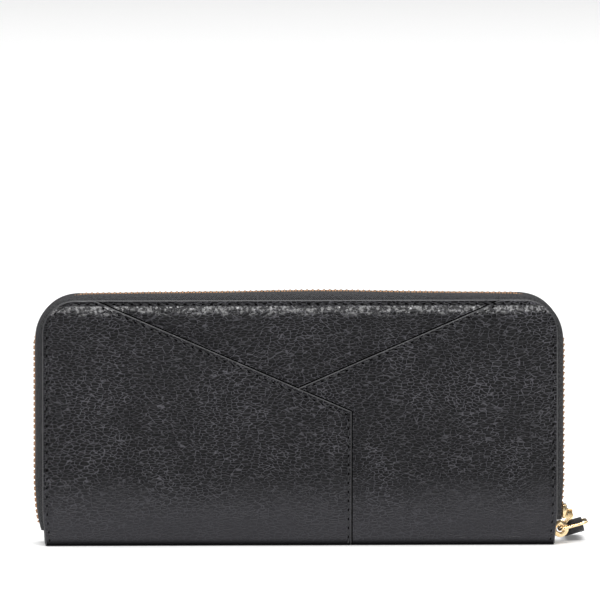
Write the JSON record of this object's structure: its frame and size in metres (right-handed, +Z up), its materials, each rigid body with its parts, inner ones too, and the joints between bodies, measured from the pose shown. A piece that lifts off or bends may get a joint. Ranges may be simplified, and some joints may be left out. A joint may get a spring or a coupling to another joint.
{
  "type": "long wallet",
  "caption": "Long zip-around wallet standing on its spine: two padded leather covers, card pockets, coin pocket, side gussets, metal zip with slider and leather pull.",
  "frame": {"origin": "middle of the spine's underside, midway between the ends and between the covers", "axes": "+X along the wallet towards the end where the closed zip's slider rests, -Y out of the front cover, +Z up from the spine to the zip"},
  "size_m": [0.2053, 0.047, 0.0936],
  "materials": {
    "grained_leather": "pebbled, semi-matt",
    "pocket_leather": "smooth, thin",
    "lining_cloth": "fine twill",
    "zip_tape": "woven",
    "gold_metal": "polished, pale gold",
    "padding": "foam sheet",
    "stiffener": "bonded fibre board"
  },
  "bodies": {
    "spine": {"spine_leather_left": "grained_leather", "spine_leather_right": "grained_leather", "spine_board": "stiffener", "spine_lining": "lining_cloth", "front_crease": "grained_leather", "rear_crease": "grained_leather", "coin_wall_front": "lining_cloth", "coin_wall_rear": "lining_cloth", "coin_side_left": "lining_cloth", "coin_side_right": "lining_cloth", "coin_tape_front": "zip_tape", "coin_tape_rear": "zip_tape", "coin_teeth_front": "gold_metal", "coin_teeth_rear": "gold_metal", "front_gusset_left": "lining_cloth", "front_gusset_right": "lining_cloth", "rear_gusset_left": "lining_cloth", "rear_gusset_right": "lining_cloth"},
    "front_cover": {"front_panel_left": "grained_leather", "front_panel_right": "grained_leather", "front_panel_top": "grained_leather", "front_foam": "padding", "front_board": "stiffener", "front_lining": "lining_cloth", "front_slip_pocket": "pocket_leather", "front_card_pocket_1": "pocket_leather", "front_card_pocket_2": "pocket_leather", "front_card_pocket_3": "pocket_leather", "front_card_pocket_4": "pocket_leather", "front_zip_tape": "zip_tape", "front_zip_tape_side": "zip_tape", "front_zip_teeth": "gold_metal"},
    "rear_cover": {"rear_panel_left": "grained_leather", "rear_panel_right": "grained_leather", "rear_panel_top": "grained_leather", "rear_foam": "padding", "rear_board": "stiffener", "rear_lining": "lining_cloth", "rear_slip_pocket": "pocket_leather", "rear_card_pocket_1": "pocket_leather", "rear_card_pocket_2": "pocket_leather", "rear_card_pocket_3": "pocket_leather", "rear_card_pocket_4": "pocket_leather", "rear_zip_tape": "zip_tape", "rear_zip_tape_side": "zip_tape", "rear_zip_teeth": "gold_metal"},
    "zip_slider": {"zip_slider": "gold_metal", "slider_crown": "gold_metal"},
    "pull_bail": {"pull_bail": "gold_metal"},
    "pull_link": {"pull_link": "gold_metal"},
    "pull_ring": {"pull_ring": "gold_metal"},
    "pull_tab": {"pull_tab": "grained_leather"},
    "coin_slider": {"coin_slider": "gold_metal"},
    "coin_pull": {"coin_pull": "gold_metal"}
  },
  "joints": [
    {"name": "front_cover_open", "type": "hinge", "parent": "spine", "child": "front_cover", "pos_m": [0, -0.0095, 0.003], "axis": [1, 0, 0], "range_deg": [0, 45], "deforming": ["front_crease", "front_gusset_left", "front_gusset_right"]},
    {"name": "rear_cover_open", "type": "hinge", "parent": "spine", "child": "rear_cover", "pos_m": [0, 0.0095, 0.003], "axis": [1, 0, 0], "range_deg": [-45, 0], "deforming": ["rear_crease", "rear_gusset_left", "rear_gusset_right"]},
    {"name": "zip_slide", "type": "slide", "parent": "front_cover", "child": "zip_slider", "axis": [0, 0, 1], "range_m": [0, 0.06], "deforming": ["front_zip_teeth", "rear_zip_teeth", "front_zip_tape_side", "rear_zip_tape_side"]},
    {"name": "bail_swing", "type": "hinge", "parent": "zip_slider", "child": "pull_bail", "pos_m": [0.10055, 0, 0.01085], "axis": [0, 1, 0], "range_deg": [-30, 0]},
    {"name": "link_swing", "type": "hinge", "parent": "pull_bail", "child": "pull_link", "pos_m": [0.09735, -0.0065, 0.0063], "axis": [0, 1, 0], "range_deg": [0, 8]},
    {"name": "ring_swing", "type": "hinge", "parent": "pull_link", "child": "pull_ring", "pos_m": [0.09645, -0.0065, 0.0053], "axis": [0, 1, 0], "range_deg": [0, 8]},
    {"name": "tab_swing", "type": "hinge", "parent": "pull_ring", "child": "pull_tab", "pos_m": [0.1015, 0.0046, 0.00672], "axis": [0.9627, 0, 0.2706], "range_deg": [0, 35]},
    {"name": "coin_zip_slide", "type": "slide", "parent": "spine", "child": "coin_slider", "axis": [1, 0, 0], "range_m": [0, 0.15], "deforming": ["coin_teeth_front", "coin_teeth_rear"]},
    {"name": "coin_pull_swing", "type": "hinge", "parent": "coin_slider", "child": "coin_pull", "pos_m": [-0.0775, 0, 0.0825], "axis": [0, 1, 0], "range_deg": [-55, 0]}
  ],
  "couplings": [
    {"joint": "rear_cover_open", "follows": "front_cover_open", "ratio": -1}
  ]
}
